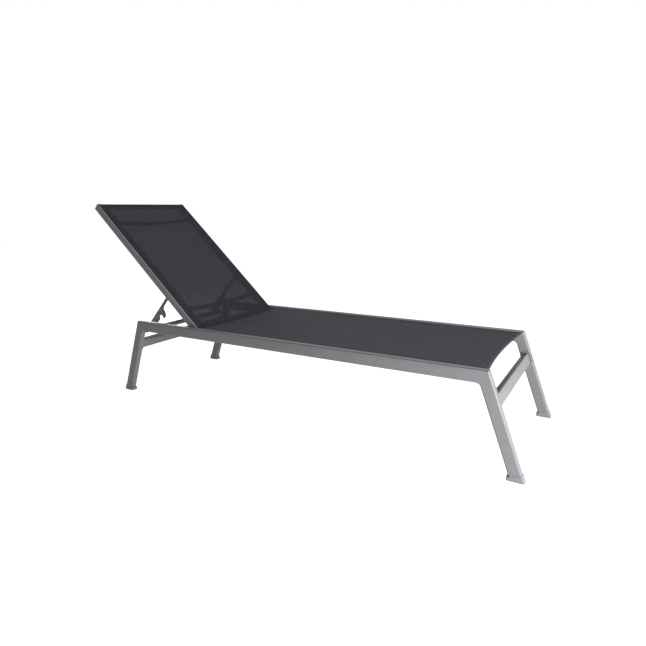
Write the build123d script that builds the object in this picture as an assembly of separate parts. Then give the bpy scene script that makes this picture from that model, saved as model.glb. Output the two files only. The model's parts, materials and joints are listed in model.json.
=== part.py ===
from build123d import *
import os
from math import asin, atan2, cos, hypot, radians, sin, tan

# Outdoor chaise lounge. Millimetres. X runs from the head end to the foot end, Y across, Z up.
# The pieces are drawn with the head end's top corner at X 0, and moved at the end so that the
# origin is the middle of the floor under the whole chaise.

# Side frames: rail and legs of welded tube
seat_height = 380
rail_length = 1724
frame_width = 676
rail_height = 50
tube_thickness = 28
leg_width = 46
leg_splay = 138
tube_wall = 2.2
tube_edge = 7
outer_corner = 5
inner_corner = 18
groove_drop = 9
groove_width = 1.6
groove_depth = 0.9

# Cross members
stretcher_height = 46
stretcher_thickness = 28
stretcher_edge = 5
foot_stretcher_drop = 93
head_stretcher_drop = 106
crossbar_x = 3
crossbar_drop = 58
crossbar_radius = 12.5
crossbar_wall = 2
spreader_radius = 11
spreader_wall = 1.8
spreader_bow = 34
spreader_drop = 26
spreader_head_inset = 90
spreader_foot_inset = 180

# Sling channels and the splines that lock the slings in them
channel_radius = 3.6
channel_wall = 1.5
channel_drop = 6.5
mouth_height = 2.4
sleeve_radius = 3.3
spline_radius = 2.45
spline_gap = 0.15
spline_setback = 3
sling_thickness = 1.2
seat_sag = 7
seat_head_x = 384
seat_head_hollow = 3
seat_foot_gap = 6
seat_foot_hollow = 20
plug_length = 14
plug_radius = 5
plug_height = 3
plug_gap = 0.2

# Back frame
rest_angle = 42.4
upright_angle = 90
hinge_x = 360.1
back_side_gap = 14
rest_gap = 0.3
back_length = 874
back_tail = 22
back_rail_width = 24
back_rail_depth = 36
back_rail_edge = 5
back_rail_wall = 1.8
back_channel_inset = 6.5
back_sling_gap = 0.3
brace_radius = 11
brace_wall = 1.6
brace_depth = 19.5
brace_bow = 26
lower_brace_run = 146.6
upper_brace_setback = 111.4
top_bar_radius = 6
top_bar_gap = 0.3
top_bar_setback = 9
sling_overhang = 9
cap_thickness = 4
upper_plug_length = 16
lower_plug_length = 6
cap_clearance = 0.15
cap_round = 1.8

# Hinge between the back and the side frames
hinge_bolt_radius = 4
hinge_bush_radius = 6.5
hinge_spacer_radius = 10
running_clearance = 0.05
side_gap = 0.2
washer_thickness = 1.6
washer_radius = 9.5
bolt_head_radius = 7
bolt_head_height = 4.4
socket_radius = 2.8
socket_depth = 2.6
insert_radius = 6
insert_flange_radius = 8.5
insert_flange = 1
insert_length = 16

# Prop arms: flat plates with two hooks that drop over the crossbar
arm_inset = 39
arm_thickness = 8
arm_width = 15
arm_pivot_distance = 273.1
arm_bolt_radius = 3
arm_bush_radius = 5
arm_end_radius = 10
arm_end_round = 6
boss_radius = 9
hook_pitch = 85.8
hook_slot_radius = 15
hook_wall = 8
hook_tail = 1.5
upper_root_run = 22
upper_root_reach = 23
upper_root_rise = 42
lower_root_run = 8
lower_root_reach = 28
lower_root_rise = 32
hook_reach = 34
hook_bulge_rise = 18
hook_tip_reach = 26
hook_tip_drop = 3
hook_tip_round = 2.5
hook_mouth = 50

# Glides under the legs
glide_inner_height = 12
glide_flange = 1.5
glide_edge = 6
glide_plug_length = 25
glide_plug_clearance = 0.15
toe_reach = 6
toe_height = 13
toe_undercut = 1

# A length for cuts that only has to pass right through
overrun = 60

# Sizes worked out from the ones above
half_width = frame_width / 2
inner_face = half_width - tube_thickness
rail_y = half_width - tube_thickness / 2
lean = atan2(leg_splay, seat_height)
rail_bottom = seat_height - rail_height
channel_z = seat_height - channel_drop
channel_y = inner_face + channel_wall + channel_radius
spreader_z = seat_height - spreader_drop
crossbar_z = seat_height - crossbar_drop
hinge_z = crossbar_z + crossbar_radius + rest_gap + back_rail_depth / 2
back_top_z = hinge_z + back_rail_depth / 2
back_channel_z = back_top_z - channel_drop
back_outer = inner_face - back_side_gap
back_inner = back_outer - back_rail_width
back_rail_y = back_outer - back_rail_width / 2
back_channel_y = back_outer - back_channel_inset
back_sling_z = back_top_z + back_sling_gap + sling_thickness / 2
pocket_radius = top_bar_radius + top_bar_gap + sling_thickness
top_bar_z = back_sling_z - pocket_radius
arm_y = back_inner - arm_inset
crossbar_turn = atan2(crossbar_z - hinge_z, crossbar_x - hinge_x)
crossbar_distance = hypot(crossbar_z - hinge_z, crossbar_x - hinge_x)

parts = {}


def y_cylinder(x, z, y0, y1, radius):
    """Round bar along Y between two Y values."""
    return Pos(x, (y0 + y1) / 2, z) * Rot(90, 0, 0) * Cylinder(radius, abs(y1 - y0))


def x_cylinder(y, z, x0, x1, radius):
    """Round bar along X between two X values."""
    return Pos((x0 + x1) / 2, y, z) * Rot(0, 90, 0) * Cylinder(radius, abs(x1 - x0))


def y_ring(x, z, y0, y1, radius, bore):
    return y_cylinder(x, z, y0, y1, radius) - y_cylinder(x, z, y0, y1, bore)


def both_sides(name, solid, suffixes=("left", "right")):
    """Keep a piece drawn on the +Y side, and its mirror image on the other side."""
    parts[name + "_" + suffixes[0]] = solid
    parts[name + "_" + suffixes[1]] = mirror(solid, about=Plane.XZ)


def pair(solid):
    return Compound(children=[solid, mirror(solid, about=Plane.XZ)])


def leg_point(end, across, height):
    """A point of a leg: distance in from its outer edge, and height above the floor."""
    outer = (seat_height - height) * tan(lean) - across / cos(lean)
    return (rail_length + outer, height) if end == "foot" else (-outer, height)


def leg_foot(end):
    """Inner and outer corners of a leg's lower end, which is square to the leg."""
    inner = leg_point(end, leg_width, glide_inner_height)
    outer = leg_point(end, 0, glide_inner_height + leg_width * sin(lean))
    return inner, outer


def side_outline():
    """Outline of one rail with its two legs, in X and Z."""
    foot_inner, foot_outer = leg_foot("foot")
    head_inner, head_outer = leg_foot("head")
    corners = [
        head_outer,
        (0, seat_height),
        (rail_length, seat_height),
        foot_outer,
        foot_inner,
        leg_point("foot", leg_width, rail_bottom),
        leg_point("head", leg_width, rail_bottom),
        head_inner,
    ]
    face = make_face(Polyline(*corners, close=True))
    tops = [v for v in face.vertices() if abs(v.Y - seat_height) < tube_wall]
    face = fillet(tops, outer_corner)
    inners = [v for v in face.vertices() if abs(v.Y - rail_bottom) < tube_wall]
    return fillet(inners, inner_corner)


def along_outline(solid, y):
    """The long edges of a side frame that lie on one of its side faces."""
    return [e for e in solid.edges() if abs(e.center().Y - y) < tube_wall / 2]


def rounded_frame(face, thickness, edge):
    solid = Pos(0, rail_y, 0) * extrude(Plane.XZ * face, thickness / 2, both=True)
    ends = along_outline(solid, rail_y + thickness / 2) + along_outline(solid, rail_y - thickness / 2)
    feet = [e for e in ends if e.center().Z < glide_inner_height + leg_width]
    level = [e for e in feet if e.length < leg_width + tube_wall]
    return fillet([e for e in ends if e not in level], edge)


def mitre_plane(end):
    """Plane through a corner joint, facing away from the rail."""
    inner = leg_point(end, leg_width, rail_bottom)
    outer = (rail_length, seat_height) if end == "foot" else (0, seat_height)
    run = (outer[0] - inner[0], outer[1] - inner[1])
    facing = (run[1], 0, -run[0]) if end == "foot" else (-run[1], 0, run[0])
    return Plane(origin=(inner[0], 0, inner[1]), x_dir=(0, 1, 0), z_dir=facing)


def side_frame():
    """One side's rail and legs, cut apart at the mitres and hollow inside."""
    face = side_outline()
    outer = rounded_frame(face, tube_thickness, tube_edge)
    inner_face_outline = offset(face, amount=-tube_wall, kind=Kind.INTERSECTION)
    hollow = rounded_frame(inner_face_outline, tube_thickness - 2 * tube_wall, tube_edge - tube_wall)
    for end in ("head", "foot"):
        hollow = hollow + leg_bottom_opening(end)
    foot_cut, head_cut = mitre_plane("foot"), mitre_plane("head")
    foot_leg = split(outer, bisect_by=foot_cut, keep=Keep.TOP) - hollow
    head_leg = split(outer, bisect_by=head_cut, keep=Keep.TOP) - hollow
    rail = split(split(outer, bisect_by=foot_cut, keep=Keep.BOTTOM), bisect_by=head_cut, keep=Keep.BOTTOM)
    lug = x_cylinder(channel_y, channel_z, 0, rail_length, channel_radius + channel_wall)
    rail = rail - (hollow - lug)
    rail = rail - rail_channel() - rail_groove() - hinge_insert_hole()
    return rail, head_leg, foot_leg


def leg_bottom_opening(end):
    """Opens the hollow of a leg at its lower end, where the glide's plug goes in."""
    inner, outer = leg_foot(end)
    middle = ((inner[0] + outer[0]) / 2, (inner[1] + outer[1]) / 2)
    return leg_section(end, middle, leg_width - 2 * tube_wall, tube_thickness - 2 * tube_wall,
                       tube_edge - tube_wall, -2 * tube_wall, 2 * tube_wall)


def leg_section(end, centre, width, thickness, edge, start, finish):
    """Rounded bar along a leg's axis; distances run down the leg from a point on that axis."""
    side = 1 if end == "foot" else -1
    down = Vector(side * sin(lean), 0, -cos(lean))
    base = Vector(centre[0], rail_y, centre[1]) + down * start
    plane = Plane(origin=base, x_dir=(0, 1, 0), z_dir=down)
    return extrude(plane * RectangleRounded(thickness, width, edge), finish - start)


def rail_channel():
    """Round channel for the spline, and the slot through which the sling leaves it."""
    bore = x_cylinder(channel_y, channel_z, -overrun, rail_length + overrun, channel_radius)
    mouth = Box(rail_length + 2 * overrun, channel_y - inner_face + overrun, mouth_height)
    return bore + Pos(rail_length / 2, (channel_y + inner_face - overrun) / 2, channel_z) * mouth


def rail_groove():
    """Thin shadow line along the outer face."""
    line = Box(rail_length + 2 * overrun, 2 * groove_depth, groove_width)
    return Pos(rail_length / 2, half_width, seat_height - groove_drop) * line


def hinge_insert_hole():
    return y_cylinder(hinge_x, hinge_z, inner_face - tube_wall, rail_y, insert_radius + running_clearance)


def stretcher(end, drop):
    """Flat oval tube between two legs, tilted with them and centred in their width."""
    width = inner_face * 2
    side = 1 if end == "foot" else -1
    inset = (leg_width - stretcher_thickness) / 2
    face_point = leg_point(end, inset if end == "foot" else leg_width - inset, seat_height - drop)
    down = Vector(side * sin(lean), 0, -cos(lean))
    back = Vector(-cos(lean), 0, -side * sin(lean))
    centre = Vector(face_point[0], 0, face_point[1]) + down * (stretcher_height / 2)
    centre = centre + back * (stretcher_thickness / 2)
    plane = Plane(origin=centre, x_dir=down, z_dir=(0, 1, 0))
    outer = RectangleRounded(stretcher_height, stretcher_thickness, stretcher_edge)
    inner = RectangleRounded(stretcher_height - 2 * tube_wall, stretcher_thickness - 2 * tube_wall,
                             stretcher_edge - tube_wall)
    return extrude(plane * (outer - inner), width / 2, both=True)


def bowed_tube(x, z, half_span, bow, radius, wall):
    """Tube across the chaise that bows down in the middle, trimmed flat at both ends."""
    reach = half_span + overrun
    drop = bow * (reach / half_span) ** 2 - bow
    line = ThreePointArc((x, -reach, z + drop), (x, 0, z - bow), (x, reach, z + drop))
    start = Plane(origin=line @ 0, z_dir=line % 0)
    tube = sweep(start * Circle(radius), path=line) - sweep(start * Circle(radius - wall), path=line)
    limit = Pos(x, 0, z) * Box(4 * radius, 2 * half_span, 4 * (bow + radius))
    return tube & limit


def glide(end):
    """Moulded foot: a wedge under the square end of the leg, a toe, and a plug in the tube."""
    inner, outer = leg_foot(end)
    middle = ((inner[0] + outer[0]) / 2, (inner[1] + outer[1]) / 2)
    wide = leg_width + 2 * glide_flange
    thick = tube_thickness + 2 * glide_flange
    body = leg_section(end, middle, wide, thick, glide_edge, 0, leg_width)
    body = body - Pos(middle[0], rail_y, -overrun / 2) * Box(3 * overrun, 2 * overrun, overrun)
    side = -1 if end == "foot" else 1
    toe_start = leg_point(end, leg_width + glide_flange, glide_inner_height)[0]
    toe_middle = toe_start + side * (toe_reach - leg_width) / 2
    toe = extrude(RectangleRounded(leg_width + toe_reach, thick, glide_edge), toe_height)
    toe = Pos(toe_middle, rail_y, toe_undercut) * toe
    toe = toe - leg_section(end, middle, leg_width, tube_thickness, tube_edge, -overrun, 0)
    clear = tube_wall + glide_plug_clearance
    plug = leg_section(end, middle, leg_width - 2 * clear, tube_thickness - 2 * clear,
                       tube_edge - clear, -glide_plug_length, 0)
    return body + toe + plug


def sheet_band(half, z, sag):
    """Cross-section of a sling in Y and Z: a shallow arc of one thickness."""
    top, low = z + sling_thickness / 2, z - sling_thickness / 2
    if sag == 0:
        return make_face(Polyline((-half, low), (half, low), (half, top), (-half, top), close=True))
    upper = ThreePointArc((-half, top), (0, top - sag), (half, top))
    lower = ThreePointArc((half, low), (0, low - sag), (-half, low))
    return make_face([upper, Line((half, top), (half, low)), lower, Line((-half, low), (-half, top))])


def sling_solid(half, z, sag, x0, x1, channel):
    """Sling with sewn sleeves along its sides that hold the splines, at the channel's height."""
    sheet = extrude(Plane.YZ.offset(x0) * sheet_band(half, z, sag), x1 - x0)
    drop = z + sling_thickness / 2 - channel
    for side in (-1, 1):
        turned = Box(x1 - x0, sling_thickness, drop)
        turned = Pos((x0 + x1) / 2, side * (half - sling_thickness / 2), channel + drop / 2) * turned
        sheet = sheet + turned + x_cylinder(side * half, channel, x0, x1, sleeve_radius)
    for side in (-1, 1):
        sheet = sheet - x_cylinder(side * half, channel, x0, x1, spline_radius + spline_gap)
    return sheet


def seat_sling():
    """Seat sling, with its free edges at the head and the foot drawn in between the rails."""
    x0, x1 = seat_head_x, rail_length - seat_foot_gap
    sheet = sling_solid(channel_y, channel_z, seat_sag, x0, x1, channel_z)
    edge = channel_y + sleeve_radius
    head = ThreePointArc((x0, -edge), (x0 + seat_head_hollow, 0), (x0, edge))
    foot = ThreePointArc((x1, edge), (x1 - seat_foot_hollow, 0), (x1, -edge))
    plan = make_face([head, Line((x0, edge), (x1, edge)), foot, Line((x1, -edge), (x0, -edge))])
    return sheet & (Pos(0, 0, channel_z - overrun / 2) * extrude(plan, overrun))


def sling_plug():
    """Small moulded stop in the channel at the head end of the seat sling."""
    x1 = seat_head_x - side_gap
    stem = x_cylinder(channel_y, channel_z, x1 - plug_length, x1, sleeve_radius)
    tab = Box(plug_radius, channel_y - inner_face + plug_height, sling_thickness)
    tab = Pos(x1 - plug_length / 2, (channel_y + inner_face - plug_height) / 2, channel_z) * tab
    face = inner_face - plug_gap
    head = y_cylinder(x1 - plug_length / 2, channel_z, face - plug_height, face, plug_radius)
    rim = [e for e in head.edges() if e.center().Y < face - plug_height / 2]
    return stem + tab + fillet(rim, plug_height / 2)


def flat_to_rest(solid):
    """Turns a piece of the back, drawn lying flat, up to its angle at rest."""
    turn = Pos(hinge_x, 0, hinge_z) * Rot(0, rest_angle, 0) * Pos(-hinge_x, 0, -hinge_z)
    return turn * solid


def back_rail():
    """Back rail, drawn flat: hollow, with a sling channel and holes for the hinge and the boss."""
    x0, x1 = hinge_x - back_length + cap_thickness, hinge_x + back_tail - cap_thickness
    plane = Plane.YZ.offset(x0) * Pos(back_rail_y, hinge_z)
    outer = RectangleRounded(back_rail_width, back_rail_depth, back_rail_edge)
    inner = RectangleRounded(back_rail_width - 2 * back_rail_wall, back_rail_depth - 2 * back_rail_wall,
                             back_rail_edge - back_rail_wall)
    bar = extrude(plane * outer, x1 - x0)
    core = extrude(plane * inner, x1 - x0)
    lug = x_cylinder(back_channel_y, back_channel_z, x0, x1, channel_radius + channel_wall)
    bar = bar - (core - lug)
    bar = bar - x_cylinder(back_channel_y, back_channel_z, x0, x1, channel_radius)
    mouth = Box(x1 - x0, mouth_height, 2 * channel_drop)
    bar = bar - Pos((x0 + x1) / 2, back_channel_y, back_top_z) * mouth
    hole = y_cylinder(hinge_x, hinge_z, 0, half_width, hinge_bush_radius + running_clearance)
    return bar - hole


def end_cap(x, side, plug_run):
    """Moulded cap on the end of a back rail, with a plug in the tube. Side -1 faces the top."""
    plane = Plane.YZ.offset(x) * Pos(back_rail_y, hinge_z)
    disc = RectangleRounded(back_rail_width, back_rail_depth, back_rail_edge)
    cap = extrude(plane * disc, side * cap_thickness)
    rim = [e for e in cap.edges() if abs(e.center().X - x - side * cap_thickness) < side_gap]
    cap = fillet(rim, cap_round)
    clear = back_rail_wall + cap_clearance
    low = back_channel_z - channel_radius - channel_wall - cap_clearance
    bottom = hinge_z - back_rail_depth / 2 + clear
    plug = RectangleRounded(back_rail_width - 2 * clear, low - bottom, back_rail_edge - clear)
    spot = Plane.YZ.offset(x) * Pos(back_rail_y, (low + bottom) / 2)
    return cap + extrude(spot * plug, -side * plug_run)


def back_sling():
    """Back sling: a flat sheet over the rails, side sleeves, and a pocket round the top bar."""
    x0 = hinge_x - back_length + top_bar_setback
    x1 = hinge_x + sling_overhang
    sheet = sling_solid(back_channel_y, back_sling_z, 0, x0, x1, back_channel_z)
    reach = back_inner - side_gap - top_bar_gap
    pocket = y_cylinder(x0, top_bar_z, -reach, reach, pocket_radius)
    bore = y_cylinder(x0, top_bar_z, -reach, reach, top_bar_radius + top_bar_gap)
    return (sheet + pocket) - bore


def top_bar():
    x0 = hinge_x - back_length + top_bar_setback
    return y_cylinder(x0, top_bar_z, -back_inner, back_inner, top_bar_radius)


def hook_places():
    """Centres of the two hook slots and the way each opens, with the back drawn flat."""
    turn = crossbar_turn + radians(rest_angle)
    lower = (hinge_x + crossbar_distance * cos(turn), hinge_z + crossbar_distance * sin(turn))
    upper = (lower[0], lower[1] + hook_pitch)
    return [hook_frame(lower), hook_frame(upper)]


def hook_frame(seat):
    """Slot centre and opening direction of the hook in which the crossbar sits at a given place."""
    pivot = (hinge_x - arm_pivot_distance, hinge_z)
    reach = hypot(seat[0] - pivot[0], seat[1] - pivot[1])
    # The angle at the arm's pivot between the hinge and the hook, once the hook is on the crossbar
    squares = arm_pivot_distance ** 2 + reach ** 2 - crossbar_distance ** 2
    share = squares / (2 * arm_pivot_distance * reach)
    closed = radians(90) - asin(share)
    bearing = atan2(seat[1] - pivot[1], seat[0] - pivot[0]) + closed
    hinge = (pivot[0] + arm_pivot_distance * cos(bearing), pivot[1] + arm_pivot_distance * sin(bearing))
    run = (seat[0] - hinge[0], seat[1] - hinge[1])
    opening = (-run[1] / crossbar_distance, run[0] / crossbar_distance)
    slack = hook_slot_radius - crossbar_radius - rest_gap
    return (seat[0] + opening[0] * slack, seat[1] + opening[1] * slack), opening


def hook_point(centre, opening, reach, drop):
    """A point beside a slot: reach towards the lip, drop along the way the slot opens."""
    lip = (-opening[1], opening[0])
    return (centre[0] + lip[0] * reach + opening[0] * drop,
            centre[1] + lip[1] * reach + opening[1] * drop)


def hook_blank(pivot_x, centre, opening, wall, root, run):
    """The fin in front of a slot and the cheek behind it, before the slot is cut."""
    bulge = hook_point(centre, opening, hook_reach, -hook_bulge_rise)
    tip = hook_point(centre, opening, hook_tip_reach, hook_tip_drop)
    cheek = hook_point(centre, opening, -hook_slot_radius, wall)
    start = (pivot_x + arm_width / 2, root[1] + run)
    face = make_face(Polyline(start, root, bulge, tip, centre, cheek, (pivot_x, cheek[1]),
                              (pivot_x, start[1]), close=True))
    sharp = [v for v in face.vertices() if hypot(v.X - bulge[0], v.Y - bulge[1]) < side_gap]
    face = fillet(sharp, hook_slot_radius)
    end = [v for v in face.vertices() if hypot(v.X - tip[0], v.Y - tip[1]) < side_gap]
    return fillet(end, hook_tip_round)


def hook_slot(centre, opening):
    points = [(-hook_slot_radius, 0), (hook_slot_radius, 0),
              (hook_slot_radius, hook_mouth), (-hook_slot_radius, hook_mouth)]
    mouth = make_face(Polyline(*[hook_point(centre, opening, r, d) for r, d in points], close=True))
    return mouth + Pos(centre[0], centre[1]) * Circle(hook_slot_radius)


def prop_arm():
    """Arm plate, drawn hanging straight down from the flat back."""
    pivot_x = hinge_x - arm_pivot_distance
    lower, upper = hook_places()
    tail = hook_point(*lower, -hook_slot_radius, hook_tail)[1]
    half = arm_width / 2
    strip = make_face(Polyline((pivot_x - half, hinge_z), (pivot_x + half, hinge_z),
                               (pivot_x + half, tail), (pivot_x - half, tail), close=True))
    strip = fillet([v for v in strip.vertices() if v.Y < tail + side_gap and v.X < pivot_x], arm_end_round)
    face = strip + Pos(pivot_x, hinge_z) * Circle(arm_end_radius)
    upper_root = hook_point(*upper, upper_root_reach, -upper_root_rise)
    lower_root = hook_point(*lower, lower_root_reach, -lower_root_rise)
    cheek = hook_point(*upper, -hook_slot_radius, hook_wall)
    face = face + hook_blank(pivot_x, *upper, hook_wall, upper_root, upper_root_run)
    face = face + hook_blank(pivot_x, *lower, hook_tail, lower_root, lower_root_run)
    # The web between the two hooks
    face = face + make_face(Polyline((pivot_x, cheek[1]), cheek, lower_root, (pivot_x, lower_root[1]),
                                     close=True))
    face = face - hook_slot(*lower) - hook_slot(*upper)
    face = face - Pos(pivot_x, hinge_z) * Circle(arm_bush_radius + running_clearance)
    return Pos(0, arm_y, 0) * extrude(Plane.XZ * face, arm_thickness / 2, both=True)


def bolt(x, z, head_y, tip_y, radius):
    """Button-head bolt along Y. Its head stands on the inner side of head_y."""
    shank = y_cylinder(x, z, head_y, tip_y, radius)
    head = y_cylinder(x, z, head_y - bolt_head_height, head_y, bolt_head_radius)
    rim = [e for e in head.edges() if e.center().Y < head_y - bolt_head_height / 2]
    head = fillet(rim, bolt_head_height / 2)
    key = extrude(Plane.XZ * Pos(x, z) * RegularPolygon(socket_radius, 6), socket_depth, both=True)
    return shank + head - Pos(0, head_y - bolt_head_height, 0) * key


def hinge_pieces():
    """Fasteners of the back's hinge on the +Y side, drawn at the hinge."""
    outer_face = back_outer + side_gap
    washer_face = back_inner - side_gap
    head_y = washer_face - washer_thickness
    flange = inner_face - insert_flange
    parts["hinge_bolts"] = pair(bolt(hinge_x, hinge_z, head_y, inner_face + insert_length, hinge_bolt_radius))
    bore = hinge_bolt_radius + running_clearance
    parts["hinge_washers"] = pair(y_ring(hinge_x, hinge_z, head_y, washer_face, washer_radius, bore))
    parts["hinge_spacers"] = pair(y_ring(hinge_x, hinge_z, outer_face, flange, hinge_spacer_radius, bore))
    insert = y_ring(hinge_x, hinge_z, inner_face, inner_face + insert_length, insert_radius, bore)
    rim = y_ring(hinge_x, hinge_z, flange, inner_face, insert_flange_radius, bore)
    parts["hinge_inserts"] = pair(insert + rim)
    bush = y_ring(hinge_x, hinge_z, back_inner, back_outer, hinge_bush_radius, bore)
    parts["hinge_bushes"] = pair(flat_to_rest(bush))


def arm_pieces():
    """The prop arms with their bosses, bolts, washers and bushes."""
    x, z = hinge_x - arm_pivot_distance, hinge_z
    outer, inner = arm_y + arm_thickness / 2, arm_y - arm_thickness / 2
    bore = arm_bolt_radius + running_clearance
    boss_face = outer + 2 * side_gap + washer_thickness
    boss = y_ring(x, z, boss_face, back_inner, boss_radius, bore)
    parts["prop_pivot_bosses"] = pair(flat_to_rest(boss))
    outer_washer = y_ring(x, z, outer + side_gap, outer + side_gap + washer_thickness, boss_radius, bore)
    inner_washer = y_ring(x, z, inner - side_gap - washer_thickness, inner - side_gap, boss_radius, bore)
    washers = Compound(children=[flat_to_rest(outer_washer), flat_to_rest(inner_washer)])
    parts["prop_pivot_washers"] = pair(washers)
    head_y = inner - 2 * side_gap - washer_thickness
    fixing = bolt(x, z, head_y, (boss_face + back_inner) / 2, arm_bolt_radius)
    parts["prop_pivot_bolts"] = pair(flat_to_rest(fixing))
    bush = y_ring(x, z, inner, outer, arm_bush_radius, bore)
    both_sides("prop_arm", flat_to_rest(prop_arm()))
    both_sides("prop_arm_bush", flat_to_rest(bush))


def frame_pieces():
    rail, head_leg, foot_leg = side_frame()
    both_sides("seat_rail", rail)
    both_sides("head_leg", head_leg)
    both_sides("foot_leg", foot_leg)
    both_sides("head_glide", glide("head"))
    both_sides("foot_glide", glide("foot"))
    parts["head_stretcher"] = stretcher("head", head_stretcher_drop)
    parts["foot_stretcher"] = stretcher("foot", foot_stretcher_drop)
    parts["prop_crossbar"] = y_ring(crossbar_x, crossbar_z, -inner_face, inner_face,
                                    crossbar_radius, crossbar_radius - crossbar_wall)
    first = seat_head_x + spreader_head_inset
    last = rail_length - spreader_foot_inset
    parts["seat_spreader_head"] = bowed_tube(first, spreader_z, inner_face, spreader_bow,
                                             spreader_radius, spreader_wall)
    parts["seat_spreader_foot"] = bowed_tube(last, spreader_z, inner_face, spreader_bow,
                                             spreader_radius, spreader_wall)


def seat_pieces():
    parts["seat_sling"] = seat_sling()
    x0, x1 = seat_head_x + spline_setback, rail_length - seat_foot_gap - spline_setback
    both_sides("seat_spline", x_cylinder(channel_y, channel_z, x0, x1, spline_radius))
    parts["sling_stop_plugs"] = pair(sling_plug())


def back_pieces():
    both_sides("back_rail", flat_to_rest(back_rail()))
    top_x, low_x = hinge_x - back_length + cap_thickness, hinge_x + back_tail - cap_thickness
    parts["back_upper_caps"] = pair(flat_to_rest(end_cap(top_x, -1, upper_plug_length)))
    parts["back_lower_caps"] = pair(flat_to_rest(end_cap(low_x, 1, lower_plug_length)))
    brace_z = back_top_z - brace_depth
    upper_brace_run = back_length - upper_brace_setback
    for name, run in (("lower", lower_brace_run), ("upper", upper_brace_run)):
        brace = bowed_tube(hinge_x - run, brace_z, back_inner, brace_bow, brace_radius, brace_wall)
        parts["back_" + name + "_brace"] = flat_to_rest(brace)
    parts["back_sling"] = flat_to_rest(back_sling())
    parts["back_top_bar"] = flat_to_rest(top_bar())
    x0 = hinge_x - back_length + top_bar_setback + spline_setback
    x1 = hinge_x + sling_overhang - spline_setback
    spline = x_cylinder(back_channel_y, back_channel_z, x0, x1, spline_radius)
    both_sides("back_spline", flat_to_rest(spline))


frame_pieces()
seat_pieces()
back_pieces()
hinge_pieces()
arm_pieces()

# The origin goes to the middle of the whole chaise's box, on the floor
box = Compound(children=[Compound(shape.solids()) for shape in parts.values()]).bounding_box()
shift = -(box.min.X + box.max.X) / 2

os.makedirs("parts", exist_ok=True)
for name, shape in parts.items():
    export_step(Pos(shift, 0, 0) * Compound(shape.solids()), "parts/" + name + ".step")

pivot_run = arm_pivot_distance * cos(radians(rest_angle))
pivot_rise = arm_pivot_distance * sin(radians(rest_angle))
print("hinge axis x, z", hinge_x + shift, hinge_z)
print("prop arm axis x, z", hinge_x + shift - pivot_run, hinge_z + pivot_rise)
print("back travel up", upright_angle - rest_angle)
print("prop arm at y", arm_y)
print("head corner at x", shift)
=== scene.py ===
import json
from math import cos, hypot, pi, radians, sin

import bmesh
import bpy
from mathutils import Matrix, Vector


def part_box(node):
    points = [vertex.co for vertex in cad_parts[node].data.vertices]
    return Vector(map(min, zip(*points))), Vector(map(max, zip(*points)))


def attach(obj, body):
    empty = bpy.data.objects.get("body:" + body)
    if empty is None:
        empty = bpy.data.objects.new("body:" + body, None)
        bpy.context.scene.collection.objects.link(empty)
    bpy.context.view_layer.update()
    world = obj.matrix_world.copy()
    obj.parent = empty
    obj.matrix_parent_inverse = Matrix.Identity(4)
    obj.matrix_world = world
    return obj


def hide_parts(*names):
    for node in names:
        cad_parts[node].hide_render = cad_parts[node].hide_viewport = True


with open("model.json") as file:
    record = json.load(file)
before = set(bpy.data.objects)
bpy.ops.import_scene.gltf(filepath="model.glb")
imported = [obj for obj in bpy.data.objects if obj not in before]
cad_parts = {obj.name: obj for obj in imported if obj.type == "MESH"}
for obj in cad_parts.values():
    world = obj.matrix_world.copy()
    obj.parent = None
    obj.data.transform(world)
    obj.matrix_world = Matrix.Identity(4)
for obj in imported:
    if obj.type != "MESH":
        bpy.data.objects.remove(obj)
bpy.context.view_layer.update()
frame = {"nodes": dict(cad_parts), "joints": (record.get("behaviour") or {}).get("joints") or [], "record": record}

# Outdoor chaise lounge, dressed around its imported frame. Metres, X towards the foot end, Z up.

MM = 0.001

# Where the camera stood, from the straight edges of the rails, legs and back
CAMERA_PLACE = (1.30379, -2.03860, 0.91209)
CAMERA_RIGHT = (0.86191698, 0.50692942, -0.0110314)
CAMERA_FORWARD = (-0.49724141, 0.84078614, -0.21407862)
CAMERA_LENS = 28.751
SENSOR = 36

# Slings: woven mesh, folded round a cord at each side and hemmed at each free edge. Gaps are
# measured to the middle of the cloth: LAP_GAP from a layer to its lap, CORD_GAP from the cord.
MESH_THICKNESS = 0.8 * MM
LAP_WIDTH = 44 * MM
LAP_GAP = 1.1 * MM
HEM_WIDTH = 32 * MM
CORD_GAP = 0.55 * MM
POCKET_EASE = 2 * MM
SEAT_SAG = 7 * MM
SEAT_HEAD_HOLLOW = 3 * MM
SEAT_FOOT_HOLLOW = 20 * MM
BACK_SAG = 2.5 * MM
BACK_FOOT_HOLLOW = 3 * MM
BACK_REST_GAP = 0.6 * MM
REST_ANGLE = radians(42.4)
YARN_PITCH = 1.6 * MM
OPENING_SHARE = 0.62
ROWS_LONG = 120
ROWS_WIDE = 48
WRAP_STEPS = 14
LAP_STEPS = 6
SEAM_STEPS = 60

# Painted shade: a dark line painted along the rails' outer top edges. Its middle's height, its half
# width, and the distance from the chaise's middle beyond which a rail has it
PAINTED_SHADE_HEIGHT = 378.4 * MM
PAINTED_SHADE_REACH = 1.0 * MM
PAINTED_SHADE_FACE = 330 * MM

# Thread and weld beads. STRETCHER_WELD is the path's size round a stretcher's end, LEG_LEAN how
# far the legs splay, and END_DEPTH how near a tube's end its ring of vertices is looked for.
STITCH_PITCH = 4.2 * MM
STITCH_LENGTH = 3.2 * MM
STITCH_WIDTH = 0.8 * MM
SEAM_INSET = 4 * MM
WELD_PITCH = 2.4 * MM
WELD_WIDTH = 9 * MM
WELD_LENGTH = 5 * MM
BRACE_RADIUS = 11 * MM
STRETCHER_WELD = (36 * MM, 54 * MM)
LEG_LEAN = radians(19.96)
ROUND_STEPS = 6
END_DEPTH = 0.2 * MM

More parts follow.
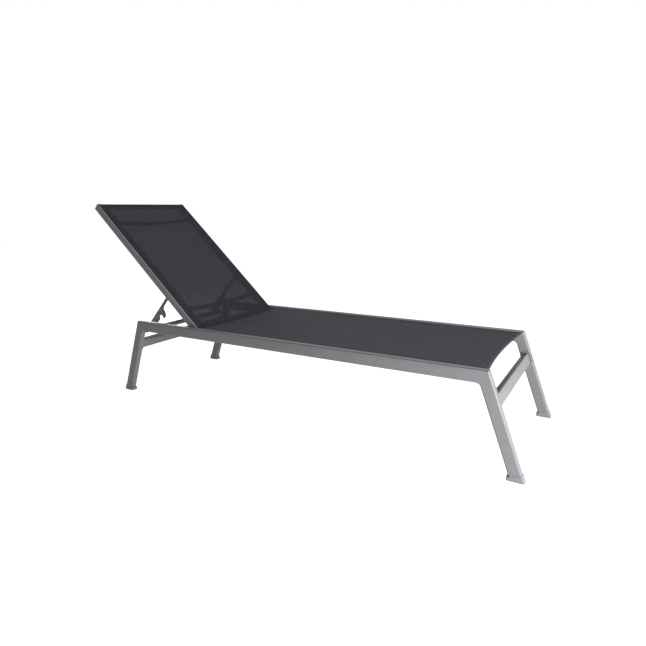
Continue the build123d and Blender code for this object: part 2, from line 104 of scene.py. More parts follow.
# Studio: lamps as (name, place, aim, size, power, colour)
COOL = (0.97, 1.0, 1.03)
LAMPS = (
    ("key", (3.1, -1.1, 0.95), (0.2, 0, 0.3), 1.2, 66, COOL),
    ("low", (3.1, 0.3, 0.4), (0.6, 0.1, 0.25), 0.6, 19, COOL),
    ("fill", (1.9, -1.5, 0.4), (1.05, 0.1, 0.12), 0.9, 24, (0.98, 0.99, 1.04)),
    ("sky", (0.3, 0.0, 3.2), (0.3, 0, 0.3), 2.2, 16, (1, 1, 1)),
    ("behind", (-3.2, 1.4, 1.1), (-0.6, 0, 0.4), 1.4, 26, (1, 1, 1)),
)
FLOOR_REACH = 14
FLOOR_SHADE = 0.86
FLOOR_GLOW = 0.93
WARM_WORLD = (1, 0.96, 0.9, 1)
WORLD_LIGHT = 0.11
WHITE = (1, 1, 1, 1)


def srgb(code):
    """A hex colour as drawn on a screen, in the linear values that shaders take."""
    parts = [int(code[i:i + 2], 16) / 255 for i in (0, 2, 4)]
    linear = [c / 12.92 if c <= 0.04045 else ((c + 0.055) / 1.055) ** 2.4 for c in parts]
    return (*linear, 1.0)


def add(tree, kind, links=(), **settings):
    """Adds a node. settings are its own values or its sockets'; links are (socket, source)."""
    node = tree.nodes.new(kind)
    for name, value in settings.items():
        if hasattr(node, name):
            setattr(node, name, value)
        else:
            node.inputs[name.replace("_", " ")].default_value = value
    for socket, source in links:
        tree.links.new(source, node.inputs[socket])
    return node


def new_material(name, **values):
    """A material with one Principled shader, and that shader's uniform values."""
    material = bpy.data.materials.new(name)
    material.use_nodes = True
    tree = material.node_tree
    tree.nodes.clear()
    shader = tree.nodes.new("ShaderNodeBsdfPrincipled")
    for socket, value in values.items():
        shader.inputs[socket.replace("_", " ")].default_value = value
    output = add(tree, "ShaderNodeOutputMaterial", [("Surface", shader.outputs[0])])
    return material, tree, shader, output


def tinted(tree, shader, dark, light, factor):
    """Colour between two hex values, by a factor between 0 and 1."""
    ramp = add(tree, "ShaderNodeValToRGB", [("Fac", factor)])
    ramp.color_ramp.elements[0].color = srgb(dark)
    ramp.color_ramp.elements[1].color = srgb(light)
    tree.links.new(ramp.outputs["Color"], shader.inputs["Base Color"])
    return ramp


def rough_between(tree, shader, low, high, factor):
    """Roughness from low to high, as the factor goes from 0 to 1."""
    spread = add(tree, "ShaderNodeMapRange", [("Value", factor)])
    spread.inputs["To Min"].default_value = low
    spread.inputs["To Max"].default_value = high
    tree.links.new(spread.outputs["Result"], shader.inputs["Roughness"])


def bumped(tree, shader, height, depth, strength):
    """Fine relief from a height between 0 and 1. depth is in metres."""
    bump = add(tree, "ShaderNodeBump", [("Height", height)])
    bump.inputs["Distance"].default_value = depth
    bump.inputs["Strength"].default_value = strength
    tree.links.new(bump.outputs["Normal"], shader.inputs["Normal"])


def noise(tree, place, size, detail=3.0, roughness=0.5):
    """Noise whose patches are about one size across, in metres."""
    node = add(tree, "ShaderNodeTexNoise", [("Vector", place)])
    node.inputs["Scale"].default_value = 1 / size
    node.inputs["Detail"].default_value = detail
    node.inputs["Roughness"].default_value = roughness
    return node.outputs["Fac"]


def powder_coat(name, dark, light):
    """Satin powder coat on aluminium: a dull sheen, a fine orange peel, and faint patches of tone."""
    material, tree, shader, _ = new_material(name, Metallic=0.12, Specular_IOR_Level=0.2)
    place = add(tree, "ShaderNodeTexCoord").outputs["Object"]
    cloud = noise(tree, place, size=90 * MM, detail=4.0, roughness=0.6)
    tinted(tree, shader, dark, light, cloud)
    rough_between(tree, shader, low=0.38, high=0.5, factor=cloud)
    peel = noise(tree, place, size=1.4 * MM, detail=2.0)
    bumped(tree, shader, peel, depth=0.06 * MM, strength=0.35)
    return material, tree, shader


def coat_and_painted_shade_line(name, dark, light, line):
    """The same coat on a rail, with a thin dark line of painted shade along its outer top edge."""
    material, tree, shader = powder_coat(name, dark, light)
    clean = shader.inputs["Base Color"].links[0].from_socket
    place = add(tree, "ShaderNodeTexCoord").outputs["Object"]
    split = add(tree, "ShaderNodeSeparateXYZ", [("Vector", place)])
    # Painted shade: a thin band along the rail's outer top edge is given the dark line colour
    inside = add(tree, "ShaderNodeMath", [(0, split.outputs["Z"])], operation="COMPARE")
    inside.inputs[1].default_value = PAINTED_SHADE_HEIGHT
    inside.inputs[2].default_value = PAINTED_SHADE_REACH
    out = add(tree, "ShaderNodeMath", [(0, split.outputs["Y"])], operation="ABSOLUTE")
    face = add(tree, "ShaderNodeMath", [(0, out.outputs[0])], operation="GREATER_THAN")
    face.inputs[1].default_value = PAINTED_SHADE_FACE
    where = add(tree, "ShaderNodeMath", [(0, inside.outputs[0]), (1, face.outputs[0])], operation="MULTIPLY")
    # A colour mix takes its two colours at sockets 6 and 7, and gives its result at 2
    mix = add(tree, "ShaderNodeMix", [("Factor", where.outputs[0])], data_type="RGBA")
    tree.links.new(clean, mix.inputs[6])
    mix.inputs[7].default_value = srgb(line)
    tree.links.new(mix.outputs[2], shader.inputs["Base Color"])
    return material


def moulded_plastic(name, dark, light, grain):
    """Injection-moulded polypropylene: matt, with a fine spark texture and faint flow marks."""
    material, tree, shader, _ = new_material(name, IOR=1.49)
    place = add(tree, "ShaderNodeTexCoord").outputs["Object"]
    flow = noise(tree, place, size=22 * MM)
    tinted(tree, shader, dark, light, flow)
    rough_between(tree, shader, low=0.5, high=0.66, factor=flow)
    spark = noise(tree, place, size=grain, detail=2.0)
    bumped(tree, shader, spark, depth=0.08 * MM, strength=0.4)
    return material


def stainless_steel():
    """Turned stainless steel: bright, with a fine streaky tone and relief."""
    material, tree, shader, _ = new_material("turned_stainless_steel", Metallic=1.0)
    place = add(tree, "ShaderNodeTexCoord").outputs["Object"]
    streak = noise(tree, place, size=0.9 * MM, detail=2.0)
    tinted(tree, shader, "8e8d8b", "c3c2bf", streak)
    rough_between(tree, shader, low=0.22, high=0.38, factor=streak)
    bumped(tree, shader, streak, depth=0.03 * MM, strength=0.3)
    return material


def yarn_wave(tree, along, across):
    """Height of one set of yarns, which pass over and under the other set in turn."""
    turn = add(tree, "ShaderNodeMath", [(0, across)], operation="MULTIPLY")
    turn.inputs[1].default_value = pi / YARN_PITCH
    ridge = add(tree, "ShaderNodeMath", [(0, turn.outputs[0])], operation="SINE")
    rise = add(tree, "ShaderNodeMath", [(0, ridge.outputs[0])], operation="ABSOLUTE")
    run = add(tree, "ShaderNodeMath", [(0, along)], operation="MULTIPLY")
    run.inputs[1].default_value = pi / YARN_PITCH
    lift = add(tree, "ShaderNodeMath", [(0, run.outputs[0])], operation="SINE")
    swap = add(tree, "ShaderNodeMath", [(0, ridge.outputs[0]), (1, lift.outputs[0])], operation="MULTIPLY")
    half = add(tree, "ShaderNodeMath", [(0, swap.outputs[0])], operation="MULTIPLY_ADD")
    half.inputs[1].default_value = 0.5
    half.inputs[2].default_value = 0.5
    height = add(tree, "ShaderNodeMath", [(0, rise.outputs[0]), (1, half.outputs[0])], operation="MULTIPLY")
    return rise.outputs[0], height.outputs[0]


def sling_mesh_cloth(name, dark, light, yarn_clear, opening_clear):
    """Vinyl-coated polyester mesh in a plain weave: matt charcoal yarns with streaks of tone, painted
    lighter on their crowns and darker where they dip under (painted light and shade), and tiny
    openings between them, so what lies behind shows through faintly. The yarns are drawn a little
    coarser than the real millimetre."""
    material, tree, shader, output = new_material(name, Specular_IOR_Level=0.1)
    uv = add(tree, "ShaderNodeUVMap", uv_map="cut").outputs["UV"]
    split = add(tree, "ShaderNodeSeparateXYZ", [("Vector", uv)])
    along, across = split.outputs["X"], split.outputs["Y"]
    warp_rise, warp = yarn_wave(tree, along, across)
    weft_rise, weft = yarn_wave(tree, across, along)
    crown = add(tree, "ShaderNodeMath", [(0, warp), (1, weft)], operation="MAXIMUM").outputs[0]
    stretch = add(tree, "ShaderNodeMapping", [("Vector", uv)])
    stretch.inputs["Scale"].default_value = (0.12, 1.0, 1.0)
    streak = noise(tree, stretch.outputs["Vector"], size=9 * MM, detail=4.0, roughness=0.6)
    # Painted light and shade: the yarn crowns are made lighter and the dips darker, together with streaks of tone
    crown_shade_and_streaks = add(tree, "ShaderNodeMath", [(0, crown), (1, streak)], operation="MULTIPLY_ADD")
    crown_shade_and_streaks.inputs[1].default_value = 0.45
    tree.links.new(streak, crown_shade_and_streaks.inputs[2])
    tone = add(tree, "ShaderNodeMath", [(0, crown_shade_and_streaks.outputs[0])], operation="MULTIPLY")
    tone.inputs[1].default_value = 0.7
    tinted(tree, shader, dark, light, tone.outputs[0])
    rough_between(tree, shader, low=0.85, high=0.65, factor=crown)
    bumped(tree, shader, crown, depth=0.25 * MM, strength=0.6)
    gap = add(tree, "ShaderNodeMath", [(0, warp_rise), (1, weft_rise)], operation="MAXIMUM")
    hole = add(tree, "ShaderNodeMath", [(0, gap.outputs[0])], operation="LESS_THAN")
    hole.inputs[1].default_value = OPENING_SHARE
    share = add(tree, "ShaderNodeMapRange", [("Value", hole.outputs[0])])
    share.inputs["To Min"].default_value = yarn_clear
    share.inputs["To Max"].default_value = opening_clear
    clear = add(tree, "ShaderNodeBsdfTransparent")
    mix = add(tree, "ShaderNodeMixShader",
              [(0, share.outputs[0]), (1, shader.outputs[0]), (2, clear.outputs[0])])
    tree.links.new(mix.outputs[0], output.inputs["Surface"])
    return material


def spun_thread():
    """Bonded polyester thread: dull, slightly darker than the cloth it sews."""
    material, tree, shader, _ = new_material("bonded_polyester_thread", Sheen_Weight=0.2)
    place = add(tree, "ShaderNodeTexCoord").outputs["Object"]
    twist = noise(tree, place, size=0.6 * MM, detail=2.0)
    tinted(tree, shader, "1d1d20", "333338", twist)
    rough_between(tree, shader, low=0.6, high=0.8, factor=twist)
    return material


def seen_directly(tree):
    """1 for the camera, for reflections and for what shows through a mesh, and 0 for other rays."""
    rays = add(tree, "ShaderNodeLightPath")
    glossy = add(tree, "ShaderNodeMath", operation="MAXIMUM",
                 links=[(0, rays.outputs["Is Camera Ray"]), (1, rays.outputs["Is Glossy Ray"])])
    return add(tree, "ShaderNodeMath", [(0, glossy.outputs[0]), (1, rays.outputs["Is Transmission Ray"])],
               operation="MAXIMUM").outputs[0]


def studio_white(name):
    """Plain pale floor. It is white to the camera and in reflections, and keeps soft shadows."""
    material = bpy.data.materials.new(name)
    material.use_nodes = True
    tree = material.node_tree
    tree.nodes.clear()
    diffuse = add(tree, "ShaderNodeBsdfDiffuse", Color=(FLOOR_SHADE, FLOOR_SHADE, FLOOR_SHADE, 1))
    glow = add(tree, "ShaderNodeEmission", Color=WHITE, Strength=FLOOR_GLOW)
    both = add(tree, "ShaderNodeAddShader", [(0, diffuse.outputs[0]), (1, glow.outputs[0])])
    seen = seen_directly(tree)
    mix = add(tree, "ShaderNodeMixShader", [(0, seen), (1, diffuse.outputs[0]), (2, both.outputs[0])])
    add(tree, "ShaderNodeOutputMaterial", [("Surface", mix.outputs[0])])
    return material


def new_object(name, mesh):
    piece = bpy.data.objects.new(name, mesh)
    bpy.context.scene.collection.objects.link(piece)
    return piece


def grid_mesh(bm, uv_layer, rows):
    """Adds a grid of faces to a bmesh. rows hold (place, cut) pairs, cut being the flat pattern's UV."""
    lines = [[(bm.verts.new(place), cut) for place, cut in row] for row in rows]
    for first, second in zip(lines, lines[1:]):
        for a, b, c, d in zip(first, first[1:], second[1:], second):
            face = bm.faces.new((a[0], b[0], c[0], d[0]))
            face.smooth = True
            for loop, corner in zip(face.loops, (a, b, c, d)):
                loop[uv_layer].uv = corner[1]


def dip(y, half, sag):
    """How far a stretched sling hangs below its edges, at a distance from the middle."""
    return -sag * (1 - (y / half) ** 2)


def seat_profile(half, cord_radius):
    """Right half of the seat sling's cross-section: across, in through the channel's mouth, round
    the cord and back under as a lap. Pairs of y and z, with z measured from the cord's centre."""
    radius = cord_radius + CORD_GAP
    points = []
    for i in range(ROWS_WIDE // 2 + 1):
        y = half * i / (ROWS_WIDE // 2)
        share = max(0.0, (y - half + 2 * radius) / (2 * radius))
        points.append((y, dip(y, half, SEAT_SAG) + radius * share ** 2))
    for i in range(1, WRAP_STEPS + 1):
        turn = pi * i / WRAP_STEPS
        points.append((half + radius * sin(turn), radius * cos(turn)))
    for share in (0.25, 0.5, 0.75, 1.0):
        y = half - 2 * radius * share
        points.append((y, -radius + (radius - LAP_GAP + dip(y, half, SEAT_SAG)) * share ** 2))
    for i in range(1, LAP_STEPS + 1):
        y = half - 2 * radius - (LAP_WIDTH - 2 * radius) * i / LAP_STEPS
        points.append((y, dip(y, half, SEAT_SAG) - LAP_GAP))
    return points


def back_profile(half, inner, cord_radius, rise):
    """Right half of the back sling's cross-section: across and over the rail, down through the
    channel's mouth, round the cord, up again and back under as a lap."""
    radius, leaf = cord_radius + CORD_GAP, LAP_GAP / 2
    points = [(inner * i / 22, rise + dip(inner * i / 22, half, BACK_SAG)) for i in range(23)]
    points += [(inner + (half - leaf - inner) * i / 4, rise) for i in range(1, 5)]
    points += [(half + leaf * 0.7, rise - leaf * 0.3), (half + leaf, rise - leaf), (half + leaf, radius)]
    for i in range(1, WRAP_STEPS):
        turn = 2 * pi * i / WRAP_STEPS
        points.append((half + radius * sin(turn), radius * cos(turn)))
    points += [(half - leaf, radius), (half - leaf, rise - LAP_GAP - leaf),
               (half - 2 * leaf, rise - LAP_GAP)]
    for i in range(1, 9):
        y = half - 2 * leaf - (LAP_WIDTH - 2 * leaf) * i / 8
        points.append((y, rise - LAP_GAP + min(0.0, dip(y, half, BACK_SAG) * (y < inner))))
    return points


def both_halves(right):
    """Whole cross-section as (y, z, flat distance from the middle)."""
    flat = 0.0
    result = [(right[0][0], right[0][1], 0.0)]
    for a, b in zip(right, right[1:]):
        flat += hypot(b[0] - a[0], b[1] - a[1])
        result.append((b[0], b[1], flat))
    return [(-y, z, -d) for y, z, d in reversed(result[1:])] + result


def sling_rows(profile, start, end):
    """Rows of a sling in its own flat frame. start and end give x for a distance across."""
    rows = []
    for i in range(ROWS_LONG + 1):
        share = i / ROWS_LONG
        row = []
        for y, z, flat in profile:
            x = start(y) + (end(y) - start(y)) * share
            row.append(((x, y, z), (x, flat)))
        rows.append(row)
    return rows


def hem_rows(half, sag, edge, side, rise=0.0):
    """The hem under one free edge: it starts at the edge, folds under and runs back. side is 1 if
    the hem runs towards +X."""
    steps = [(0.0, 0.0), (-0.5 * LAP_GAP, -0.15 * LAP_GAP), (-0.7 * LAP_GAP, -0.5 * LAP_GAP),
             (-0.5 * LAP_GAP, -0.85 * LAP_GAP), (0.0, -LAP_GAP)]
    steps += [(HEM_WIDTH * i / 5, -LAP_GAP) for i in range(1, 6)]
    inner = half - LAP_WIDTH
    rows = []
    for run, drop in steps:
        row = []
        for i in range(ROWS_WIDE + 1):
            y = -inner + 2 * inner * i / ROWS_WIDE
            z = dip(y, half, sag) + rise + drop
            row.append(((edge(y) + side * run, y, z), (edge(y) - side * run, y)))
        rows.append(row)
    return rows


def surface(bm, bend, rows, uv_layer):
    """Adds rows of a sling to a bmesh, each place bent to where it stands."""
    placed = [[(bend(place), cut) for place, cut in row] for row in rows]
    grid_mesh(bm, uv_layer, placed)


def finish_sling(name, bm, material):
    """A sling's finished object, with its cloth's thickness."""
    bmesh.ops.recalc_face_normals(bm, faces=bm.faces)
    mesh = bpy.data.meshes.new(name)
    bm.to_mesh(mesh)
    bm.free()
    mesh.materials.append(material)
    piece = new_object(name, mesh)
    wall = piece.modifiers.new("cloth_thickness", "SOLIDIFY")
    wall.thickness = MESH_THICKNESS
    wall.offset = 0
    return piece


def bead_tree(name):
    """Geometry Nodes tree that lays small rounded beads end to end along a path."""
    tree = bpy.data.node_groups.new(name, "GeometryNodeTree")
    face = tree.interface
    face.new_socket("Geometry", in_out="INPUT", socket_type="NodeSocketGeometry")
    for label in ("Pitch", "Length", "Width", "Height"):
        face.new_socket(label, in_out="INPUT", socket_type="NodeSocketFloat")
    face.new_socket("Finish", in_out="INPUT", socket_type="NodeSocketMaterial")
    face.new_socket("Geometry", in_out="OUTPUT", socket_type="NodeSocketGeometry")
    inputs = add(tree, "NodeGroupInput")
    path = add(tree, "GeometryNodeMeshToCurve", [("Mesh", inputs.outputs["Geometry"])])
    spaced = add(tree, "GeometryNodeResampleCurve", [("Curve", path.outputs[0])], mode="LENGTH")
    tree.links.new(inputs.outputs["Pitch"], spaced.inputs["Length"])
    bead = add(tree, "GeometryNodeMeshIcoSphere", Radius=0.5, Subdivisions=2)
    tangent = add(tree, "GeometryNodeInputTangent")
    turn = add(tree, "FunctionNodeAlignRotationToVector", [("Vector", tangent.outputs[0])], axis="X")
    size = add(tree, "ShaderNodeCombineXYZ", [("X", inputs.outputs["Length"]),
                                              ("Y", inputs.outputs["Width"]),
                                              ("Z", inputs.outputs["Height"])])
    laid = add(tree, "GeometryNodeInstanceOnPoints",
               [("Points", spaced.outputs[0]), ("Instance", bead.outputs["Mesh"]),
                ("Rotation", turn.outputs[0]), ("Scale", size.outputs[0])])
    solid = add(tree, "GeometryNodeRealizeInstances", [("Geometry", laid.outputs[0])])
    smooth = add(tree, "GeometryNodeSetShadeSmooth", [("Geometry", solid.outputs[0])])
    coloured = add(tree, "GeometryNodeSetMaterial", [("Geometry", smooth.outputs[0]),
                                                     ("Material", inputs.outputs["Finish"])])
    add(tree, "NodeGroupOutput", [("Geometry", coloured.outputs[0])])
    return tree


def beads(name, paths, tree, values, material):
    """A plain mesh of beads along paths. A path is (points, closed)."""
    mesh = bpy.data.meshes.new(name + "_paths")
    verts, edges = [], []
    for points, closed in paths:
        first = len(verts)
        verts += [tuple(p) for p in points]
        edges += [(i, i + 1) for i in range(first, len(verts) - 1)]
        if closed:
            edges.append((len(verts) - 1, first))
    mesh.from_pydata(verts, edges, [])
    source = new_object(name + "_paths", mesh)
    modifier = source.modifiers.new("beads", "NODES")
    modifier.node_group = tree
    for item in tree.interface.items_tree:
        if item.in_out == "INPUT" and item.name in values:
            modifier[item.identifier] = values[item.name]
        if item.in_out == "INPUT" and item.name == "Finish":
            modifier[item.identifier] = material
    bpy.context.view_layer.update()
    graph = bpy.context.evaluated_depsgraph_get()
    result = bpy.data.meshes.new_from_object(source.evaluated_get(graph))
    bpy.data.objects.remove(source)
    result.name = name
    if not result.materials:
        result.materials.append(material)
    return new_object(name, result)


HINGE = Vector(next(j["pos_m"] for j in frame["joints"] if j["name"] == "back_recline"))


def to_back(place):
    """From the back's own frame to where it stands at rest. In its own frame the back lies flat,
    with its hinge at zero and its head end towards -X."""
    x, y, z = place
    return Vector((HINGE.x + x * cos(REST_ANGLE) + z * sin(REST_ANGLE), y,
                   HINGE.z - x * sin(REST_ANGLE) + z * cos(REST_ANGLE)))


def from_back(place):
    """The opposite turn, from where the back stands at rest to its own frame."""
    x, z = place.x - HINGE.x, place.z - HINGE.z
    return Vector((x * cos(REST_ANGLE) - z * sin(REST_ANGLE), place.y,
                   x * sin(REST_ANGLE) + z * cos(REST_ANGLE)))


def flat_box(node):
    """Lowest and highest corner of a back node, in the back's own frame."""
    spots = [from_back(v.co) for v in frame["nodes"][node].data.vertices]
    low = Vector([min(s[i] for s in spots) for i in range(3)])
    high = Vector([max(s[i] for s in spots) for i in range(3)])
    return low, high


def middle(box, axis):
    return (box[0][axis] + box[1][axis]) / 2


def make_seat_sling(cloth):
    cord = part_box("seat_spline_left")
    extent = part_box("seat_sling")
    half, level = middle(cord, 1), middle(cord, 2)
    radius = (cord[1][1] - cord[0][1]) / 2
    head, foot = extent[0][0], extent[1][0]

    def start(y):
        return head + SEAT_HEAD_HOLLOW * (1 - min(1.0, abs(y) / half) ** 2)

    def end(y):
        return foot - SEAT_FOOT_HOLLOW * (1 - min(1.0, abs(y) / half) ** 2)

    def bend(place):
        return Vector((place[0], place[1], place[2] + level))

    profile = both_halves(seat_profile(half, radius))
    bm = bmesh.new()
    uv_layer = bm.loops.layers.uv.new("cut")
    surface(bm, bend, sling_rows(profile, start, end), uv_layer)
    surface(bm, bend, hem_rows(half, SEAT_SAG, start, 1), uv_layer)
    surface(bm, bend, hem_rows(half, SEAT_SAG, end, -1), uv_layer)
    piece = finish_sling("seat_sling_cloth", bm, cloth)
    seams = seam_paths(half, SEAT_SAG, start, end, bend)
    return piece, seams, (2 * profile[-1][2], foot - head + 2 * HEM_WIDTH)


def seam_paths(half, sag, start, end, bend, rise=0.0):
    """Stitch lines on top of a sling: two along each lap, and one along each hem."""
    proud = MESH_THICKNESS / 2 + rise
    paths = []
    for side in (-1, 1):
        for inset in (SEAM_INSET, SEAM_INSET + 2 * STITCH_LENGTH):
            y = side * (half - LAP_WIDTH + inset)
            z = dip(y, half, sag) + proud
            x0, x1 = start(y) + SEAM_INSET, end(y) - SEAM_INSET
            line = [bend((x0 + (x1 - x0) * i / SEAM_STEPS, y, z)) for i in range(SEAM_STEPS + 1)]
            paths.append((line, False))
    inner = half - LAP_WIDTH - SEAM_INSET
    for edge, side in ((start, 1), (end, -1)):
        line = []
        for i in range(SEAM_STEPS + 1):
            y = -inner + 2 * inner * i / SEAM_STEPS
            z = dip(y, half, sag) + proud
            line.append(bend((edge(y) + side * (HEM_WIDTH - SEAM_INSET), y, z)))
        paths.append((line, False))
    return paths


def make_back_sling(cloth):
    cord = flat_box("back_spline_left")
    bar = flat_box("back_top_bar")
    extent = flat_box("back_sling")
    half, level = middle(cord, 1), middle(cord, 2)
    radius = (cord[1][1] - cord[0][1]) / 2
    bar_x, bar_z = middle(bar, 0), middle(bar, 2)
    pocket = (bar[1][0] - bar[0][0]) / 2 + POCKET_EASE
    inner = (bar[1][1] - bar[0][1]) / 2 - CORD_GAP
    rail_top = flat_box("back_rail_left")[1][2]
    rise = rail_top - level + BACK_REST_GAP + MESH_THICKNESS / 2 + LAP_GAP
    foot = extent[1][0]

    def start(y):
        return bar_x if abs(y) <= inner else bar_x - pocket / 3

    def end(y):
        return foot - BACK_FOOT_HOLLOW * (1 - min(1.0, abs(y) / half) ** 2)

    def bend(place):
        return to_back((place[0], place[1], place[2] + level))

    profile = both_halves(back_profile(half, inner, radius, rise))
    bm = bmesh.new()
    uv_layer = bm.loops.layers.uv.new("cut")
    surface(bm, bend, sling_rows(profile, start, end), uv_layer)
    surface(bm, bend, hem_rows(half, BACK_SAG, end, -1, rise), uv_layer)
    rows = []
    for i in range(WRAP_STEPS + LAP_STEPS + 1):
        turn = pi * min(i, WRAP_STEPS) / WRAP_STEPS
        back_up = max(0, i - WRAP_STEPS) / LAP_STEPS
        row = []
        for k in range(ROWS_WIDE + 1):
            y = -inner + 2 * inner * k / ROWS_WIDE
            sheet = rise + dip(y, half, BACK_SAG)
            round_bar = bar_z + pocket * cos(turn) - level
            z = sheet if i == 0 else round_bar + (sheet - LAP_GAP - round_bar) * back_up
            x = bar_x - pocket * sin(turn) + HEM_WIDTH * back_up
            row.append(((x, y, z), (bar_x - pocket * turn - HEM_WIDTH * back_up, y)))
        rows.append(row)
    surface(bm, bend, rows, uv_layer)
    piece = finish_sling("back_sling_cloth", bm, cloth)
    seams = seam_paths(half, BACK_SAG, start, end, bend, rise)
    return piece, seams, (2 * profile[-1][2], foot - bar_x + pi * pocket + 2 * HEM_WIDTH)


def rounded_loop(centre, along, up, length, height, corner):
    """Closed path round a tube's end: a rectangle with round corners, in a plane."""
    corner = min(corner, length / 2, height / 2)
    spots = []
    for quarter, (a, b) in enumerate(((1, 1), (-1, 1), (-1, -1), (1, -1))):
        middle_point = centre + along * a * (length / 2 - corner) + up * b * (height / 2 - corner)
        for i in range(ROUND_STEPS + 1):
            turn = (quarter + i / ROUND_STEPS) * pi / 2
            spots.append(middle_point + along * corner * cos(turn) + up * corner * sin(turn))
    return spots, True


def tube_end_loops(node, radius):
    """Round weld paths at both ends of a round tube that runs across the chaise."""
    vertices = [v.co for v in frame["nodes"][node].data.vertices]
    edge = max(v.y for v in vertices)
    ring = [v for v in vertices if v.y > edge - END_DEPTH]
    x = (min(v.x for v in ring) + max(v.x for v in ring)) / 2
    z = (min(v.z for v in ring) + max(v.z for v in ring)) / 2
    loops = []
    for side in (-1, 1):
        centre = Vector((x, side * edge, z))
        loops.append(rounded_loop(centre, Vector((1, 0, 0)), Vector((0, 0, 1)), 2 * radius,
                                  2 * radius, radius))
    return loops


def stretcher_loops(node, tilt):
    """Weld paths at both ends of a stretcher, laid on the flat inner sides of the legs."""
    vertices = [v.co for v in frame["nodes"][node].data.vertices]
    edge = max(v.y for v in vertices)
    down = Vector((tilt * sin(LEG_LEAN), 0, -cos(LEG_LEAN)))
    back = Vector((cos(LEG_LEAN), 0, tilt * sin(LEG_LEAN)))
    low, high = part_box(node)
    centre = (Vector(low) + Vector(high)) / 2
    loops = []
    for side in (-1, 1):
        place = Vector((centre.x, side * edge, centre.z))
        loops.append(rounded_loop(place, back, down, STRETCHER_WELD[0], STRETCHER_WELD[1], WELD_WIDTH))
    return loops


coat = powder_coat("satin_powder_coated_aluminium", "787677", "868485")[0]
# The rails get the same coat, with a painted shade line along their outer top edges
rail_paint_with_shade_line = coat_and_painted_shade_line("satin_powder_coat_rail_with_painted_shade", "787677", "868485", "50535a")
# The seat carries the weight and is woven closer than the back. Both slings are one mesh; the seat's
# copy has lighter colours than the back's, which is painted light
back_cloth = sling_mesh_cloth("woven_vinyl_mesh_back", "232128", "413d46", 0.08, 0.33)
seat_mesh_painted_lighter = sling_mesh_cloth("woven_vinyl_mesh_for_seat_painted_lighter", "37343b", "5e5a63", 0.01, 0.12)
thread = spun_thread()
foot_plastic = moulded_plastic("moulded_polypropylene_foot", "75757b", "83838b", 0.9 * MM)
cap_plastic = moulded_plastic("moulded_polypropylene_cap", "77767b", "85848a", 0.8 * MM)
cord_plastic = moulded_plastic("extruded_vinyl_cord", "26262a", "333338", 1.2 * MM)
nylon = moulded_plastic("moulded_black_nylon", "17171a", "232327", 0.7 * MM)
steel = stainless_steel()

FINISHES = {
    "grey_paint": coat,
    "grey_plastic_foot": foot_plastic,
    "grey_plastic": cap_plastic,
    "vinyl_cord": cord_plastic,
    "black_nylon": nylon,
    "stainless": steel,
    "dark_mesh": back_cloth,
}


def dress_frame():
    """Gives each node of the frame its material."""
    slots = {part["node"]: part["material_slot"] for part in frame["record"]["subparts"]}
    for name, node in frame["nodes"].items():
        node.data.materials.clear()
        finish = rail_paint_with_shade_line if name.startswith("seat_rail") else FINISHES[slots[name]]
        node.data.materials.append(finish)


def make_camera():
    """The photo's own view."""
    right, forward = Vector(CAMERA_RIGHT), Vector(CAMERA_FORWARD)
    up = right.cross(forward)
    camera = bpy.data.objects.new("camera", bpy.data.cameras.new("camera"))
    bpy.context.scene.collection.objects.link(camera)
    camera.data.lens = CAMERA_LENS
    camera.data.sensor_width = SENSOR
    turn = Matrix((right, up, -forward)).transposed().to_4x4()
    camera.matrix_world = Matrix.Translation(CAMERA_PLACE) @ turn
    bpy.context.scene.camera = camera


def make_lamp(name, place, aim, size, power, colour):
    lamp = bpy.data.lights.new(name, "AREA")
    lamp.shape = "DISK"
    lamp.size = size
    lamp.energy = power
    lamp.color = colour
    piece = bpy.data.objects.new(name, lamp)
    piece.visible_camera = False
    bpy.context.scene.collection.objects.link(piece)
    piece.location = place
    piece.rotation_euler = (Vector(aim) - Vector(place)).to_track_quat("-Z", "Y").to_euler()


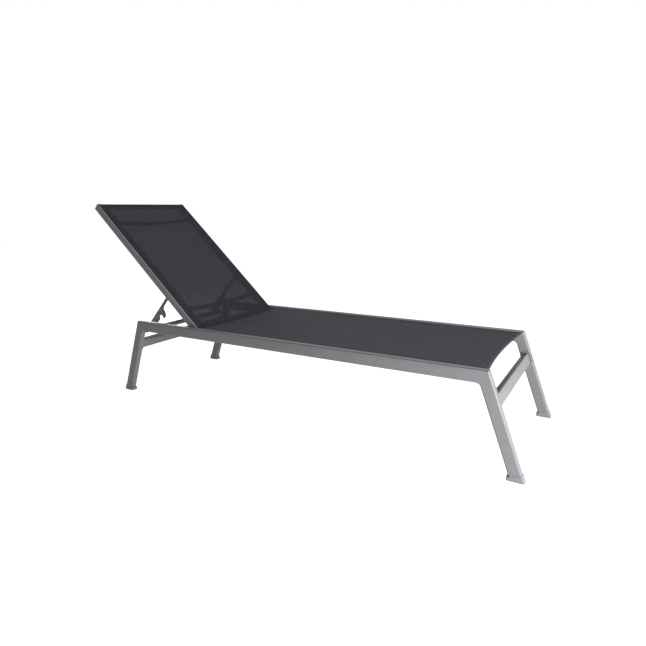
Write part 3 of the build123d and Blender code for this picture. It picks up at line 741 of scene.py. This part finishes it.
def make_studio():
    """A white floor and backdrop, and the lamps."""
    mesh = bpy.data.meshes.new("studio_floor")
    corners = [(x * FLOOR_REACH, y * FLOOR_REACH, 0) for x, y in ((-1, -1), (1, -1), (1, 1), (-1, 1))]
    mesh.from_pydata(corners, [], [(0, 1, 2, 3)])
    mesh.materials.append(studio_white("pale_studio_floor"))
    new_object("studio_floor", mesh)
    world = bpy.data.worlds.new("studio")
    bpy.context.scene.world = world
    world.use_nodes = True
    tree = world.node_tree
    tree.nodes.clear()
    dim = add(tree, "ShaderNodeBackground", Color=WARM_WORLD, Strength=WORLD_LIGHT)
    white = add(tree, "ShaderNodeBackground", Color=WHITE, Strength=1.0)
    seen = seen_directly(tree)
    mix = add(tree, "ShaderNodeMixShader", [(0, seen), (1, dim.outputs[0]), (2, white.outputs[0])])
    add(tree, "ShaderNodeOutputWorld", [("Surface", mix.outputs[0])])
    for lamp in LAMPS:
        make_lamp(*lamp)
    bpy.context.scene.view_settings.view_transform = "Standard"


dress_frame()
seat, seat_seams, seat_cut = make_seat_sling(seat_mesh_painted_lighter)
back, back_seams, back_cut = make_back_sling(back_cloth)

tree = bead_tree("beads_along_a_path")
thread_size = {"Pitch": STITCH_PITCH, "Length": STITCH_LENGTH, "Width": STITCH_WIDTH, "Height": STITCH_WIDTH}
seat_thread = beads("seat_sling_stitching", seat_seams, tree, thread_size, thread)
back_thread = beads("back_sling_stitching", back_seams, tree, thread_size, thread)

weld_size = {"Pitch": WELD_PITCH, "Length": WELD_LENGTH, "Width": WELD_WIDTH, "Height": WELD_WIDTH}
frame_loops = stretcher_loops("head_stretcher", -1) + stretcher_loops("foot_stretcher", 1)
for node in ("prop_crossbar", "seat_spreader_head", "seat_spreader_foot"):
    low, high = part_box(node)
    frame_loops += tube_end_loops(node, (high[0] - low[0]) / 2)
back_loops = []
for node in ("back_lower_brace", "back_upper_brace"):
    back_loops += tube_end_loops(node, BRACE_RADIUS)
frame_welds = beads("frame_weld_beads", frame_loops, tree, weld_size, coat)
back_welds = beads("back_weld_beads", back_loops, tree, weld_size, coat)

for piece in (seat, seat_thread, frame_welds):
    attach(piece, "frame")
for piece in (back, back_thread, back_welds):
    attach(piece, "back")
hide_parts("seat_sling")
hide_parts("back_sling")

make_camera()
make_studio()
